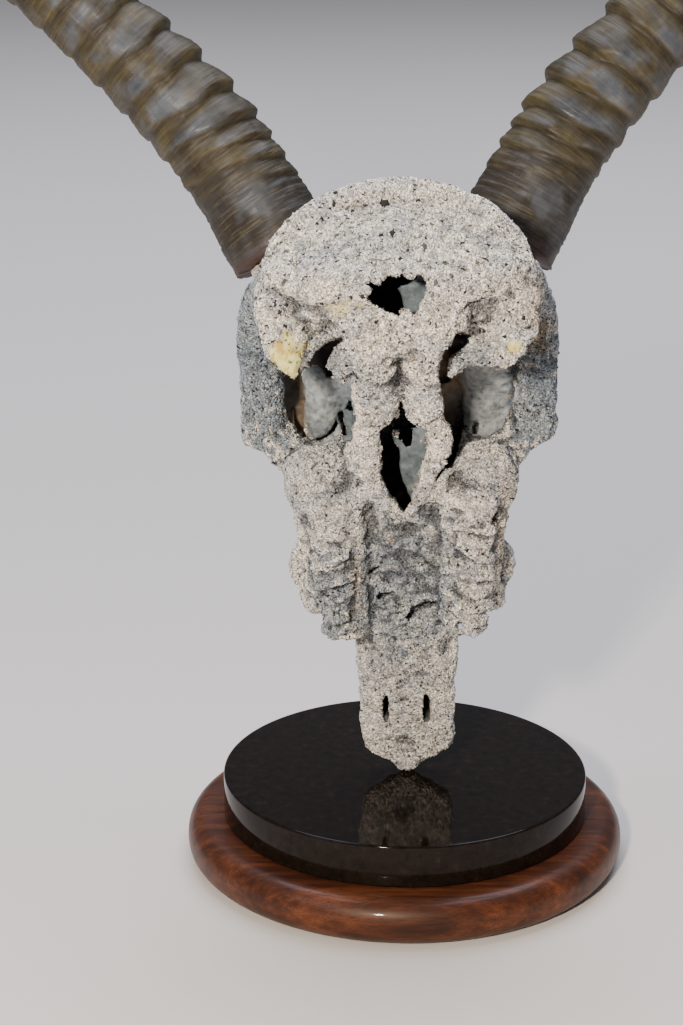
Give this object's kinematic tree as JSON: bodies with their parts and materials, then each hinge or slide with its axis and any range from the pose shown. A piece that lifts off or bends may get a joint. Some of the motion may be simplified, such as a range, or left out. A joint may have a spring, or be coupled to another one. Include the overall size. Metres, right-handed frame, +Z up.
{
  "type": "mounted antelope skull",
  "caption": "Life-size lechwe skull with long ringed horns, covered in a crust of stone chips and standing on its nose on a polished stone disc and a turned wood base.",
  "frame": {"origin": "centre of the walnut base's flat underside", "axes": "+Z up, +Y away from the side that the skull's palate and foramen magnum face, +X towards the skull's right-hand horn as it is seen in the picture"},
  "size_m": [0.5239, 0.2979, 0.7714],
  "materials": {
    "crust": "bone under a rough crust of whitish, pinkish-grey and dark stone chips",
    "horn": "ringed olive-brown keratin with a faint sheen",
    "granite": "black, mirror polished",
    "walnut": "dark reddish brown, glossy varnish"
  },
  "bodies": {
    "root": {"stand_walnut_base": "walnut", "stand_granite_disc": "granite", "skull_premaxilla": "crust", "skull_maxilla_with_teeth": "crust", "skull_nasals": "crust", "skull_frontals": "crust", "skull_cheek_arch_right": "crust", "skull_cheek_arch_left": "crust", "skull_braincase": "crust", "horn_right": "horn", "horn_left": "horn"}
  },
  "joints": []
}
